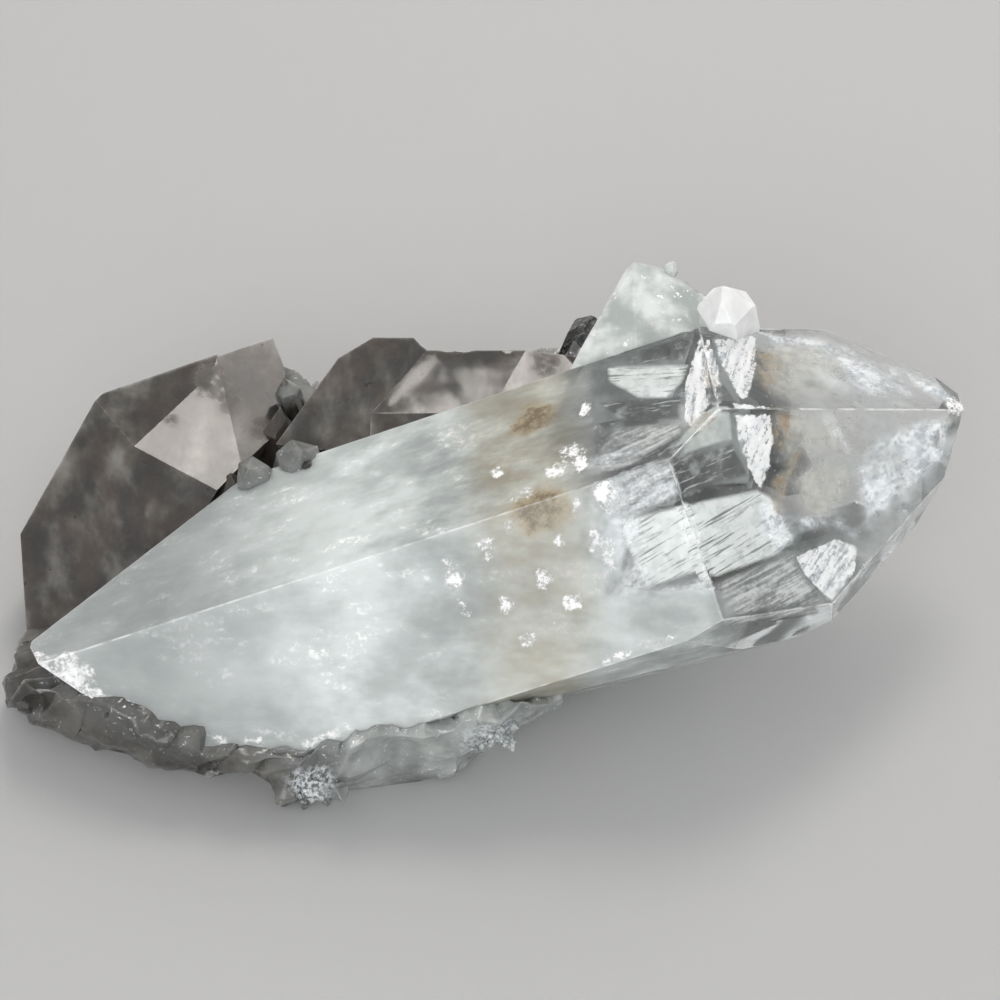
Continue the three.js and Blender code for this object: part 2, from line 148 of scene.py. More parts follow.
# What lies inside the main crystal, by the picture. Each sheet has its kind, its depth under the face at its
# left and right ends, in millimetres, how soft its border is and how its grain runs, in pixels and degrees,
# and its outline in pixels of 1000.
SHEETS = [
    ("white", 1.0, 5.0, 4, 78,
     [(700, 333), (708, 338), (710, 364), (714, 402), (692, 430), (682, 422), (683, 384), (692, 356)]),
    ("white", 5.0, 2.0, 7, 70,
     [(709, 336), (759, 331), (761, 366), (750, 402), (738, 403), (728, 384), (715, 359)]),
    ("white", 5.0, 2.5, 7, 65,
     [(731, 411), (774, 411), (778, 443), (774, 466), (762, 496), (752, 484), (744, 466), (733, 438)]),
    ("rust", 1.6, 1.6, 12, 75,
     [(750, 345), (774, 346), (786, 364), (778, 386), (764, 398), (752, 378)]),
    ("rust", 1.6, 1.6, 10, 75,
     [(768, 409), (796, 410), (794, 436), (784, 458), (770, 446)]),
    ("rust", 1.4, 1.4, 5, 60,
     [(770, 482), (784, 464), (794, 450), (806, 448), (790, 484), (785, 506), (777, 522), (770, 500)]),
    ("rust", 0.8, 3.0, 5, 75,
     [(702, 362), (711, 362), (713, 390), (703, 388)]),
    ("rust", 1.0, 2.0, 5, 20,
     [(684, 420), (714, 408), (712, 416), (692, 434)]),
    ("beige", 5.0, 3.0, 15, 0,
     [(786, 480), (812, 461), (835, 453), (855, 468), (852, 492), (840, 513), (815, 526), (797, 511)]),
    ("beige", 2.0, 2.0, 16, 0,
     [(760, 340), (822, 338), (850, 360), (830, 402), (770, 402), (758, 380)]),
    ("beige", 2.0, 2.0, 14, 0,
     [(776, 410), (835, 410), (852, 453), (826, 456), (802, 453), (780, 472)]),
    ("frost", 3.0, 2.0, 12, 10,
     [(759, 331), (822, 333), (861, 350), (856, 377), (810, 366), (774, 351)]),
    ("frost", 2.0, 1.0, 10, 20,
     [(892, 362), (937, 380), (960, 400), (938, 404), (912, 388)]),
    ("frost", 3.0, 2.0, 14, 40,
     [(850, 470), (880, 430), (940, 412), (956, 414), (944, 462), (900, 506), (864, 530)]),
    ("frost", 1.2, 1.0, 8, 50,
     [(861, 530), (899, 504), (945, 463), (932, 494), (886, 542), (858, 593), (857, 570)]),
    ("frost", 2.0, 2.0, 14, 40,
     [(790, 512), (840, 512), (862, 530), (856, 544), (832, 530), (800, 534)]),
    ("frost", 3.0, 2.0, 12, 30,
     [(756, 495), (776, 498), (800, 515), (796, 545), (776, 556), (760, 530)]),
    ("frost", 3.0, 2.0, 16, -35,
     [(850, 350), (899, 364), (924, 400), (861, 400), (838, 384)]),
    ("wisps", 1.0, 1.0, 8, 5,
     [(520, 470), (600, 452), (650, 440), (640, 462), (560, 486)]),
    ("wisps", 1.2, 1.2, 12, 60,
     [(560, 520), (640, 505), (660, 600), (600, 640), (566, 600)]),
    ("wisps", 1.2, 2.0, 8, 25,
     [(604, 500), (622, 470), (680, 456), (678, 500), (640, 520), (600, 560)]),
    ("wisps", 1.5, 1.5, 10, 10,
     [(640, 590), (700, 575), (760, 560), (765, 590), (700, 604), (650, 612)]),
    ("wisps", 0.8, 0.8, 8, 75,
     [(588, 470), (622, 470), (626, 580), (600, 590), (584, 540)]),
    ("wisps", 1.5, 2.0, 8, -40,
     [(806, 366), (825, 365), (850, 382), (860, 400), (835, 394), (818, 382)]),
    ("wisps", 1.5, 2.5, 8, -55,
     [(812, 412), (836, 410), (854, 448), (850, 460), (830, 438)]),
    ("white", 1.5, 2.0, 3, 55,
     [(794, 556), (835, 537), (858, 545), (857, 570), (833, 604), (810, 583), (799, 568)]),
    ("wisps", 1.0, 1.2, 6, 75,
     [(904, 443), (925, 436), (918, 473), (906, 506), (900, 500), (906, 463)]),
    ("wisps", 1.5, 1.5, 5, 60,
     [(868, 480), (895, 482), (890, 518), (874, 510)]),
    ("frost", 1.0, 1.0, 6, 35,
     [(924, 378), (946, 388), (962, 404), (950, 410), (938, 402)]),
    ("plate", 4.0, 6.0, 4, 31,
     [(619, 521), (682, 505), (697, 572), (646, 589), (632, 560)]),
    ("plate", 6.0, 3.5, 4, 31,
     [(683, 504), (757, 489), (770, 495), (795, 540), (775, 556), (715, 578), (698, 571)]),
    ("plate", 2.5, 4.0, 4, 4,
     [(607, 366), (690, 364), (682, 384), (667, 399), (639, 399), (608, 382)]),
    ("pane", 3.0, 2.0, 3, 25,
     [(713, 411), (730, 411), (733, 440), (710, 446), (678, 457), (690, 440)]),
    ("streaks", 2.0, 4.0, 5, 24,
     [(614, 427), (682, 421), (683, 433), (631, 466), (606, 473), (598, 450)]),
    ("streaks", 3.0, 4.0, 8, 28,
     [(716, 580), (797, 550), (795, 560), (812, 583), (827, 604), (723, 619)]),
    # The dark sheets are painted shade: dark patches where the see-through shows dark.
    ("dark", 8.0, 8.0, 5, 8,
     [(596, 401), (631, 398), (682, 395), (681, 420), (656, 422), (618, 421)]),
    ("dark", 7.0, 9.0, 4, 14,
     [(639, 350), (697, 333), (690, 346), (684, 361), (639, 365)]),
    ("dark", 3.0, 5.0, 2, 27,
     [(628, 468), (662, 450), (684, 434), (683, 443), (664, 459), (634, 469)]),
    ("dark", 6.0, 8.0, 4, 20,
     [(618, 477), (669, 465), (680, 503), (631, 513)]),
    ("dark", 6.0, 8.0, 4, 24,
     [(673, 458), (697, 453), (733, 442), (750, 476), (715, 485), (683, 500)]),
    ("dark", 3.0, 3.0, 1, 12,
     [(799, 543), (804, 531), (829, 527), (827, 534)]),
    ("dark", 5.0, 5.0, 4, 30,
     [(784, 583), (808, 577), (826, 602), (797, 608), (768, 610)]),
    ("dark", 4.0, 4.0, 3, 20,
     [(712, 386), (724, 384), (738, 403), (714, 403)]),
    ("dark", 2.0, 2.0, 3, -30,
     [(803, 378), (820, 381), (828, 391), (806, 388)]),
    ("dark", 1.5, 1.5, 3, 70,
     [(932, 438), (940, 425), (941, 440), (934, 452)]),
]

# Etched, dull spots on the smoky crystals: x, y and reach in pixels of 1000.
ETCHED = [
    (208, 380, 30),
    (232, 398, 26),
    (262, 430, 24),
    (172, 418, 16),
    (545, 362, 30),
]

# White spots just under the main crystal's faces, partly crushed quartz and partly painted glints: outlines
# in pixels of 1000.
CRUSHED_AND_GLINTS = [
    [(562, 446), (576, 440), (589, 446), (588, 470), (574, 477), (563, 462)],
    [(505, 504), (520, 488), (537, 485), (530, 498)],
    [(591, 482), (606, 478), (620, 492), (624, 505), (606, 518), (594, 500)],
    [(586, 528), (604, 530), (618, 545), (619, 578), (602, 574), (588, 560)],
    [(552, 534), (564, 532), (565, 546), (555, 550)],
    [(533, 572), (548, 564), (556, 580), (548, 597), (536, 590)],
    [(441, 560), (456, 554), (468, 570), (462, 588), (445, 584)],
    [(547, 620), (566, 617), (570, 632), (556, 638)],
    [(578, 400), (590, 402), (592, 420), (580, 418)],
    [(944, 392), (966, 402), (965, 420), (948, 415)],
    [(560, 440), (572, 452), (566, 480), (556, 470)],
    [(476, 538), (492, 534), (498, 556), (484, 566)],
    [(500, 520), (512, 516), (514, 534), (504, 538)],
    [(452, 596), (470, 600), (476, 618), (458, 616)],
    [(496, 596), (514, 592), (520, 610), (502, 616)],
    [(516, 636), (536, 630), (540, 644), (522, 650)],
    [(560, 596), (580, 590), (584, 610), (566, 614)],
    [(566, 498), (580, 494), (584, 510), (570, 516)],
    [(486, 470), (500, 462), (506, 474), (492, 480)],
    [(543, 470), (556, 462), (560, 476), (548, 484)],
    [(26, 652), (78, 652), (96, 672), (104, 704), (70, 700), (38, 676)],
    [(100, 690), (130, 700), (152, 716), (134, 718), (108, 706)],
    [(200, 728), (236, 738), (268, 736), (262, 748), (210, 744)],
    [(300, 742), (340, 728), (346, 736), (306, 750)],
    [(600, 668), (640, 652), (676, 640), (678, 634), (640, 642), (600, 658)],
]
SHEET_GRAIN = 2  # pixels between a sheet's points
MM_PER_PIXEL = 0.125  # at the setting-out point
DEEPEST_SHARE = 0.85  # of the way through a crystal that a sheet's point may lie
CRUSHED_AND_GLINT_SOFT = (-8, 4)  # pixels inside an outline where a spot starts and is full

# Crystals, in millimetres: how wide their worn edges are and how finely those are cut, how deep the nicks in
# them are, how far a face strays from flat, and how high the growth steps are.
EDGE_WIDTH = 0.1
EDGE_STEP = 0.8
NICK_DEPTH = 0.5
FACE_WAVE = 0.04
STEP_HEIGHT = 0.03

# The root's surface: how finely it is cut, and its hollows' depth and size, in millimetres, and seed.
ROOT_STEP = 0.85
SCOOPS = ((1.3, 8.0, 41), (0.6, 3.2, 52), (0.2, 1.5, 57))


# Noise, worked out point by point


def scrambled(cells, seed):
    """A number from 0 to 1 that is the same each time for a whole-number cell."""
    x, y, z = (cells[..., i].astype(np.uint64) for i in range(3))
    mixed = x * np.uint64(73856093) ^ y * np.uint64(19349663) ^ z * np.uint64(83492791)
    mixed = (mixed ^ np.uint64(seed * 2654435761 % 2**32)) * np.uint64(0x9E3779B97F4A7C15)
    mixed = (mixed ^ (mixed >> np.uint64(29))) * np.uint64(0xBF58476D1CE4E5B9)
    return (mixed >> np.uint64(40)).astype(float) / 2**24


def noise(points, size, seed=0):
    """Smooth noise from -1 to 1 whose lumps are about size across."""
    scaled = points / size + 1000
    cell = np.floor(scaled)
    part = scaled - cell
    part = part * part * (3 - 2 * part)
    total = np.zeros(len(points))
    for corner in np.ndindex(2, 2, 2):
        share = np.prod(np.where(np.array(corner) == 1, part, 1 - part), axis=1)
        total += share * scrambled(cell + np.array(corner), seed)
    return total * 2 - 1


def layered_noise(points, size, seed=0, layers=3):
    """Noise with finer and weaker noise on top of it."""
    return sum(noise(points, size / 2**i, seed + i) / 2**i for i in range(layers)) / 1.5


def scooped(points, size, seed=0):
    """How far a surface broken into hollows with crests between them stands off the whole one."""
    scaled = points / size + 1000
    cell = np.floor(scaled)
    height = np.full(len(points), np.inf)
    for step in np.ndindex(3, 3, 3):
        near = cell + np.array(step) - 1
        middle = near + np.stack([scrambled(near, seed + i) for i in range(3)], axis=1)
        away = scaled - middle
        slope = np.stack([scrambled(near, seed + 3 + i) for i in range(3)], axis=1) * 2 - 1
        hollow = (away**2).sum(axis=1) + 0.5 * (away * slope).sum(axis=1) + 0.7 * scrambled(near, seed + 6)
        height = np.minimum(height, hollow)
    return height - 0.5


# Meshes


def coordinates(mesh):
    """The mesh's vertices as an array, in millimetres from the part's origin."""
    found = np.empty(len(mesh.vertices) * 3, np.float32)
    mesh.vertices.foreach_get("co", found)
    return found.reshape(-1, 3).astype(float) / MM


def normals(mesh):
    """The way out of the mesh at each of its vertices."""
    found = np.empty(len(mesh.vertices) * 3, np.float32)
    mesh.vertices.foreach_get("normal", found)
    return found.reshape(-1, 3).astype(float)


def move_to(mesh, points):
    """Puts the mesh's vertices at these places, in millimetres."""
    mesh.vertices.foreach_set("co", (points * MM).astype(np.float32).ravel())
    mesh.update()


def keep_value(mesh, name, values):
    """Stores one number for each vertex, for a material to read."""
    layer = mesh.attributes.new(name, "FLOAT", "POINT")
    layer.data.foreach_set("value", np.asarray(values, np.float32))


def plain_form(node):
    """A CAD node's solid as flat polygons, in a bmesh of its own."""
    form = bmesh.new()
    form.from_mesh(node.data)
    bmesh.ops.remove_doubles(form, verts=form.verts, dist=0.002 * MM)
    bmesh.ops.dissolve_limit(form, angle_limit=math.radians(0.6), verts=form.verts, edges=form.edges)
    return form


def sharp_edges(form, least_angle=20):
    """The ends of every sharp edge, and the way out of the solid there, in millimetres."""
    starts, ends, outs = [], [], []
    for edge in form.edges:
        if len(edge.link_faces) == 2 and edge.calc_face_angle(0) > math.radians(least_angle):
            starts.append(edge.verts[0].co / MM)
            ends.append(edge.verts[1].co / MM)
            outs.append((edge.link_faces[0].normal + edge.link_faces[1].normal).normalized())
    return np.array(starts), np.array(ends), np.array(outs)


def nearest_edge(points, edges):
    """For each point, how far the nearest sharp edge is, and which it is."""
    starts, ends, _ = edges
    best = np.full(len(points), np.inf)
    which = np.zeros(len(points), int)
    for i, (start, end) in enumerate(zip(starts, ends)):
        run = end - start
        along = np.clip(((points - start) @ run) / (run @ run), 0, 1)
        distance = np.linalg.norm(points - start - along[:, None] * run, axis=1)
        closer = distance < best
        best[closer] = distance[closer]
        which[closer] = i
    return best, which


def soften_edges(form, width):
    """Rounds the sharp edges off, and marks their strips in a layer named edge, with a narrow margin."""
    made = bmesh.ops.bevel(
        form,
        geom=[edge for edge in form.edges if edge.calc_face_angle(0) > math.radians(12)],
        offset=width * MM,
        offset_type="OFFSET",
        segments=2,
        profile=0.5,
        affect="EDGES",
        clamp_overlap=True,
    )
    strips = set(made["faces"])
    layer = form.verts.layers.float.new("edge")
    for face in strips:
        for vertex in face.verts:
            vertex[layer] = 1.0
    flats = [face for face in form.faces if face not in strips]
    bmesh.ops.inset_individual(form, faces=flats, thickness=width * MM, use_even_offset=False)
    for face in flats:
        for vertex in face.verts:
            vertex[layer] = 0.0
    return layer


def cut_fine(form, longest, rim=None, rim_layer=None):
    """Splits every edge that is longer than longest, or than rim along a rim, round after round."""
    bmesh.ops.triangulate(form, faces=form.faces)
    for _ in range(CUT_ROUNDS):
        too_long = []
        for edge in form.edges:
            on_rim = rim_layer is not None and all(vertex[rim_layer] > 0.5 for vertex in edge.verts)
            if edge.calc_length() > (rim if on_rim else longest):
                too_long.append(edge)
        if not too_long:
            return
        bmesh.ops.subdivide_edges(form, edges=too_long, cuts=1)
        bmesh.ops.triangulate(form, faces=[f for f in form.faces if len(f.verts) > 3])


def piece_from(form, name):
    mesh = bpy.data.meshes.new(name)
    form.to_mesh(mesh)
    form.free()
    piece = bpy.data.objects.new(name, mesh)
    bpy.context.scene.collection.objects.link(piece)
    return piece


def shade(piece, sharp_above=24):
    """Smooth shading, with the real edges kept sharp."""
    piece.data.shade_smooth()
    piece.data.set_sharp_from_angle(angle=math.radians(sharp_above))


def solid_tree(node):
    return BVHTree.FromPolygons(
        [vertex.co for vertex in node.data.vertices],
        [polygon.vertices for polygon in node.data.polygons],
    )


def close_gaps(points, trees, reach=0.45, overlap=0.03):
    """Moves the points that face a neighbour across the gap between solids on to that neighbour."""
    for i, point in enumerate(points):
        for tree in trees:
            spot, _, _, distance = tree.find_nearest(Vector(point) * MM, reach * MM)
            if spot is not None and distance > 1e-6:
                way = np.array(spot) / MM - point
                length = np.linalg.norm(way)
                points[i] = point + way * (length + overlap) / length
                break
    return points


# Materials


class Shader:
    """A material's node tree, built from short calls."""

    def __init__(self, name):
        self.material = bpy.data.materials.new(name + "_look")
        self.material["slot"] = name
        self.material.use_nodes = True
        self.tree = self.material.node_tree
        self.tree.nodes.clear()
        self.output = self.add("ShaderNodeOutputMaterial")
        self.place = self.millimetres()

    def add(self, kind, **settings):
        node = self.tree.nodes.new(kind)
        for key, value in settings.items():
            setattr(node, key, value)
        return node

    def feed(self, socket, value):
        """Links a socket's source, or sets its plain value."""
        if isinstance(value, bpy.types.NodeSocket):
            self.tree.links.new(value, socket)
        else:
            socket.default_value = value

    def millimetres(self):
        coordinate = self.add("ShaderNodeTexCoord").outputs["Object"]
        scale = self.add("ShaderNodeVectorMath", operation="SCALE")
        self.feed(scale.inputs[0], coordinate)
        self.feed(scale.inputs["Scale"], 1 / MM)
        return scale.outputs[0]

    def value(self, name):
        """A number kept on the mesh's vertices."""
        return self.add("ShaderNodeAttribute", attribute_name=name).outputs["Fac"]

    def math(self, operation, a, b=0.0, clamp=False):
        node = self.add("ShaderNodeMath", operation=operation, use_clamp=clamp)
        self.feed(node.inputs[0], a)
        self.feed(node.inputs[1], b)
        return node.outputs[0]

    def plus(self, a, b, clamp=False):
        return self.math("ADD", a, b, clamp)

    def times(self, a, b):
        return self.math("MULTIPLY", a, b)

    def larger(self, a, b):
        return self.math("MAXIMUM", a, b)

    def rest(self, value):
        """What is left of 1, and never less than 0."""
        return self.math("SUBTRACT", 1.0, value, clamp=True)

    def blend(self, a, b, share):
        """Two numbers added up, with this share of a."""
        return self.math("ADD", self.math("MULTIPLY", a, share), self.math("MULTIPLY", b, 1 - share))

    def remap(self, value, low, high, to_low=0.0, to_high=1.0):
        """The value's place between low and high, with a soft step, as a number from to_low to to_high."""
        node = self.add("ShaderNodeMapRange", interpolation_type="SMOOTHSTEP")
        names = ("Value", "From Min", "From Max", "To Min", "To Max")
        for name, given in zip(names, (value, low, high, to_low, to_high)):
            self.feed(node.inputs[name], given)
        return node.outputs[0]

    def noise(self, size, detail=3.0, roughness=0.55, stretch=None, turn=None, distortion=0.0):
        place = self.place
        if stretch or turn:
            mapping = self.add("ShaderNodeMapping", vector_type="POINT")
            self.feed(mapping.inputs["Vector"], place)
            self.feed(mapping.inputs["Rotation"], turn or (0, 0, 0))
            self.feed(mapping.inputs["Scale"], stretch or (1, 1, 1))
            place = mapping.outputs[0]
        node = self.add("ShaderNodeTexNoise")
        self.feed(node.inputs["Vector"], place)
        self.feed(node.inputs["Scale"], 1 / size)
        self.feed(node.inputs["Detail"], detail)
        self.feed(node.inputs["Roughness"], roughness)
        self.feed(node.inputs["Distortion"], distortion)
        return node.outputs["Fac"]

    def mix(self, share, a, b):
        """Colour a, or b where share is 1."""
        node = self.add("ShaderNodeMix", data_type="RGBA")
        self.feed(node.inputs[0], share)
        self.feed(node.inputs[6], a)
        self.feed(node.inputs[7], b)
        return node.outputs[2]

    def bump(self, height, strength, distance):
        node = self.add("ShaderNodeBump")
        self.feed(node.inputs["Height"], height)
        self.feed(node.inputs["Strength"], strength)
        self.feed(node.inputs["Distance"], distance * MM)
        return node.outputs[0]

    def quartz(
        self, colour, transmission, roughness, normal, milk_depth, absorb, density, glow_through=0.85
    ):
        """Quartz: see-through where transmission is 1, and milky where it is 0."""
        surface = self.add("ShaderNodeBsdfPrincipled")
        self.feed(surface.inputs["Base Color"], colour)
        self.feed(surface.inputs["Transmission Weight"], transmission)
        self.feed(surface.inputs["Roughness"], roughness)
        self.feed(surface.inputs["IOR"], IOR)
        self.feed(surface.inputs["Normal"], normal)
        self.feed(surface.inputs["Subsurface Weight"], glow_through)
        self.feed(surface.inputs["Subsurface Radius"], (1.0, 1.0, 1.0))
        self.feed(surface.inputs["Subsurface Scale"], milk_depth * MM)
        self.tree.links.new(surface.outputs[0], self.output.inputs["Surface"])
        inside = self.add("ShaderNodeVolumeAbsorption")
        self.feed(inside.inputs["Color"], absorb)
        self.feed(inside.inputs["Density"], density)
        self.tree.links.new(inside.outputs[0], self.output.inputs["Volume"])
        return self.material


def grey(level, alpha=1.0):
    return (level, level, level, alpha)


def main_quartz():
    """Milky at its root, with rusty clouds, and clear towards its tip."""
    s = Shader("main_quartz")
    clouds = s.noise(11.0, 4.0, 0.55)
    wisps = s.noise(3.4, 4.0, 0.6, stretch=(0.45, 1.0, 1.0), turn=(0, MAIN_TILT, -MAIN_AZIMUTH))
    fine = s.noise(0.9, 5.0, 0.7)
    drift = s.blend(clouds, wisps, 0.6)
    milk = s.plus(s.value("milk"), s.times(s.math("SUBTRACT", drift, 0.5), 0.9))
    milk = s.larger(s.remap(milk, 0.0, 1.0), s.times(s.value("stain"), 0.75))
    crumbs = s.blend(s.noise(2.2, 3.0, 0.6), s.noise(0.5, 5.0, 0.8), 0.5)
    whole = s.rest(s.value("crushed_and_glint"))
    lace = s.math("SUBTRACT", crumbs, s.times(whole, 0.4))
    lace = s.remap(lace, 0.4, 0.53)
    milk = s.larger(milk, lace)
    pale = s.mix(s.remap(drift, 0.38, 0.6), (0.49, 0.53, 0.52, 1), (0.69, 0.735, 0.725, 1))
    white = s.times(s.remap(wisps, 0.54, 0.66), s.remap(fine, 0.48, 0.62))
    pale = s.mix(white, pale, grey(0.97))
    beige = s.times(s.value("beige"), s.remap(wisps, 0.35, 0.6, 0.95, 0.6))
    pale = s.mix(beige, pale, (0.49, 0.465, 0.375, 1))
    pale = s.mix(s.value("tone"), (0.2, 0.215, 0.215, 1), pale)
    blotch = s.noise(1.2, 6.0, 0.75)
    halo = s.remap(s.plus(s.value("stain"), s.math("SUBTRACT", blotch, 0.5)), 0.1, 0.8)
    patches = s.times(s.math("SUBTRACT", blotch, 0.5), 2.4)
    core = s.remap(s.plus(s.value("stain"), patches), 0.55, 1.25)
    stain = s.times(halo, s.remap(s.value("stain"), 0.02, 0.2))
    pale = s.mix(s.times(stain, 0.85), pale, (0.43, 0.35, 0.22, 1))
    pale = s.mix(s.times(core, 0.85), pale, (0.15, 0.1, 0.045, 1))
    # White on the listed spots: partly crushed quartz, partly painted glints.
    crushed_and_glint_white = s.mix(s.remap(crumbs, 0.42, 0.6), grey(0.7), grey(0.95))
    pale = s.mix(lace, pale, crushed_and_glint_white)
    see_through = s.rest(milk)
    colour = s.mix(s.remap(see_through, 0.6, 1.0), pale, (0.985, 0.99, 0.99, 1))
    # Whitened edges: partly wear, partly a painted highlight along the edges.
    wear_and_highlight = s.remap(s.noise(2.5, 3.0, 0.6), 0.35, 0.65, 0.05, 0.5)
    wear_and_highlight = s.times(s.value("edge"), wear_and_highlight)
    colour = s.mix(wear_and_highlight, colour, grey(0.97))
    see_through = s.times(see_through, s.rest(wear_and_highlight))
    roughness = s.remap(milk, 0.2, 1.0, 0.02, 0.13)
    roughness = s.plus(roughness, s.times(wear_and_highlight, 0.25))
    relief = s.plus(s.times(fine, 0.4), s.noise(3.2, 2.0, 0.5))
    relief = s.plus(relief, s.times(s.times(lace, crumbs), 8.0))
    normal = s.bump(relief, 0.12, 0.06)
    glow_through = s.math("SUBTRACT", 0.8, s.larger(stain, lace), clamp=True)
    absorb = (0.90, 0.94, 0.945, 1)
    return s.quartz(colour, see_through, roughness, normal, 3.5, absorb, 12.0, glow_through)


def smoky_quartz():
    """Grey-brown and half clear, with faint veils and a few dark specks."""
    s = Shader("smoky_quartz")
    clouds = s.noise(9.0, 4.0, 0.55)
    wisps = s.noise(5.0, 4.0, 0.5, stretch=(1.0, 0.35, 1.0), turn=(0, 0, 0.6))
    fine = s.noise(0.9, 5.0, 0.7)
    veil = s.times(s.remap(wisps, 0.4, 0.68), s.remap(clouds, 0.33, 0.62))
    veil = s.plus(veil, s.times(s.remap(fine, 0.45, 0.7), 0.12), clamp=True)
    milk = s.plus(s.remap(clouds, 0.35, 0.7, 0.4, 0.6), s.times(veil, 0.15), clamp=True)
    speck = s.remap(s.noise(1.5, 2.0, 0.5), 0.72, 0.76)
    milk = s.larger(milk, speck)
    see_through = s.rest(milk)
    # Lighter edges: partly wear, partly a painted highlight along the edges.
    wear_and_highlight = s.times(s.value("edge"), s.remap(fine, 0.35, 0.75, 0.0, 0.7))
    brown = s.remap(s.noise(6.0, 3.0, 0.5), 0.42, 0.6)
    tint = s.mix(brown, (0.088, 0.083, 0.076, 1), (0.135, 0.108, 0.092, 1))
    hazy = s.mix(veil, tint, (0.31, 0.295, 0.27, 1))
    hazy = s.mix(speck, hazy, (0.03, 0.028, 0.03, 1))
    colour = s.mix(wear_and_highlight, hazy, grey(0.4))
    see_through = s.times(see_through, s.rest(wear_and_highlight))
    etched = s.remap(s.noise(1.6, 6.0, 0.75), 0.35, 0.6, 0.25, 1.0)
    etched = s.times(s.value("etched"), etched)
    roughness = s.plus(0.06, s.times(wear_and_highlight, 0.3))
    roughness = s.plus(roughness, s.times(etched, 0.5))
    absorb = (0.50, 0.45, 0.40, 1)
    return s.quartz(colour, see_through, roughness, s.bump(fine, 0.1, 0.03), 2.0, absorb, 60.0)


def pale_quartz(shade_low, shade_high, milk_low, milk_high):
    """Greenish white and cloudy, with bright flecks near its edges that are partly wear and partly painted
    highlight.
    """
    s = Shader("pale_quartz")
    clouds = s.noise(5.0, 4.0, 0.55)
    fine = s.noise(0.8, 5.0, 0.72)
    milk = s.remap(clouds, 0.35, 0.65, milk_low, milk_high)
    # Whitened edges: partly wear, partly a painted highlight along the edges.
    wear_and_highlight = s.times(s.value("edge"), s.remap(fine, 0.4, 0.7, 0.1, 0.7))
    fleck = s.times(s.remap(s.noise(2.4, 2.0, 0.5), 0.5, 0.64), s.remap(fine, 0.54, 0.6))
    white = s.larger(wear_and_highlight, fleck)
    milk = s.larger(milk, white)
    colour = s.mix(s.remap(clouds, 0.35, 0.65), shade_low, shade_high)
    colour = s.mix(white, colour, grey(0.985))
    roughness = s.plus(0.06, s.times(white, 0.25))
    see_through = s.rest(milk)
    absorb = (0.88, 0.92, 0.89, 1)
    return s.quartz(colour, see_through, roughness, s.bump(fine, 0.15, 0.05), 1.2, absorb, 15.0)


def clear_quartz():
    """Glassy, with a few flecks."""
    s = Shader("clear_quartz")
    fine = s.noise(0.8, 4.0, 0.7)
    see_through = s.remap(fine, 0.5, 0.75, 1.0, 0.7)
    absorb = (0.6, 0.62, 0.66, 1)
    return s.quartz(grey(0.93), see_through, 0.03, s.bump(fine, 0.2, 0.06), 1.0, absorb, 60.0)


def milky_root():
    """Milky grey and waxy, browner at the left end, with white crushed grains."""
    s = Shader("milky_root")
    clouds = s.noise(7.0, 4.0, 0.55)
    fine = s.noise(0.6, 5.0, 0.72)
    pale = s.mix(s.remap(clouds, 0.35, 0.65), (0.34, 0.365, 0.355, 1), (0.58, 0.61, 0.59, 1))
    dark = s.mix(s.remap(clouds, 0.35, 0.65), (0.07, 0.063, 0.055, 1), (0.155, 0.148, 0.135, 1))
    colour = s.mix(s.value("light"), dark, pale)
    milk = s.mix(s.value("light"), (0.17, 0.17, 0.165, 1), (0.5, 0.53, 0.52, 1))
    colour = s.mix(s.times(s.value("contact"), 0.7), colour, milk)
    white = s.times(s.remap(fine, 0.58, 0.7), s.remap(s.noise(3.5), 0.5, 0.65))
    sugar = s.times(s.value("sugar"), s.remap(fine, 0.43, 0.57))
    flecks = s.times(s.value("contact"), s.remap(fine, 0.6, 0.68))
    white = s.larger(s.larger(white, sugar), flecks)
    colour = s.mix(white, colour, (0.88, 0.92, 0.96, 1))
    see_through = s.remap(clouds, 0.3, 0.7, 0.45, 0.15)
    see_through = s.times(see_through, s.rest(white))
    roughness = s.remap(white, 0.0, 1.0, 0.12, 0.35)
    relief = s.plus(s.times(fine, 0.5), s.noise(2.0, 3.0, 0.6))
    absorb = (0.80, 0.82, 0.79, 1)
    return s.quartz(colour, see_through, roughness, s.bump(relief, 0.35, 0.12), 2.2, absorb, 20.0, 0.7)


def sheet_look(s, colour, alpha, roughness, painted_glow=0.0):
    """A thin layer inside a crystal: solid where alpha is 1, and absent where it is 0, with a painted glow in
    its own colour.
    """
    surface = s.add("ShaderNodeBsdfPrincipled")
    s.feed(surface.inputs["Base Color"], colour)
    s.feed(surface.inputs["Alpha"], alpha)
    s.feed(surface.inputs["Roughness"], roughness)
    # Painted glow: the layer gives off light in its own colour, though it is no lamp.
    s.feed(surface.inputs["Emission Color"], colour)
    s.feed(surface.inputs["Emission Strength"], painted_glow)
    s.tree.links.new(surface.outputs[0], s.output.inputs["Surface"])
    s.material["slot"] = "main_quartz"
    return s.material


def grained(s, size, stretch, seed):
    """Noise drawn out along a sheet's own grain."""
    place = s.add("ShaderNodeCombineXYZ")
    s.feed(place.inputs[0], s.math("DIVIDE", s.value("along"), stretch))
    s.feed(place.inputs[1], s.value("across"))
    s.feed(place.inputs[2], seed)
    node = s.add("ShaderNodeTexNoise")
    s.feed(node.inputs["Vector"], place.outputs[0])
    s.feed(node.inputs["Scale"], 1 / size)
    s.feed(node.inputs["Detail"], 4.0)
    s.feed(node.inputs["Roughness"], 0.65)
    return node.outputs["Fac"]


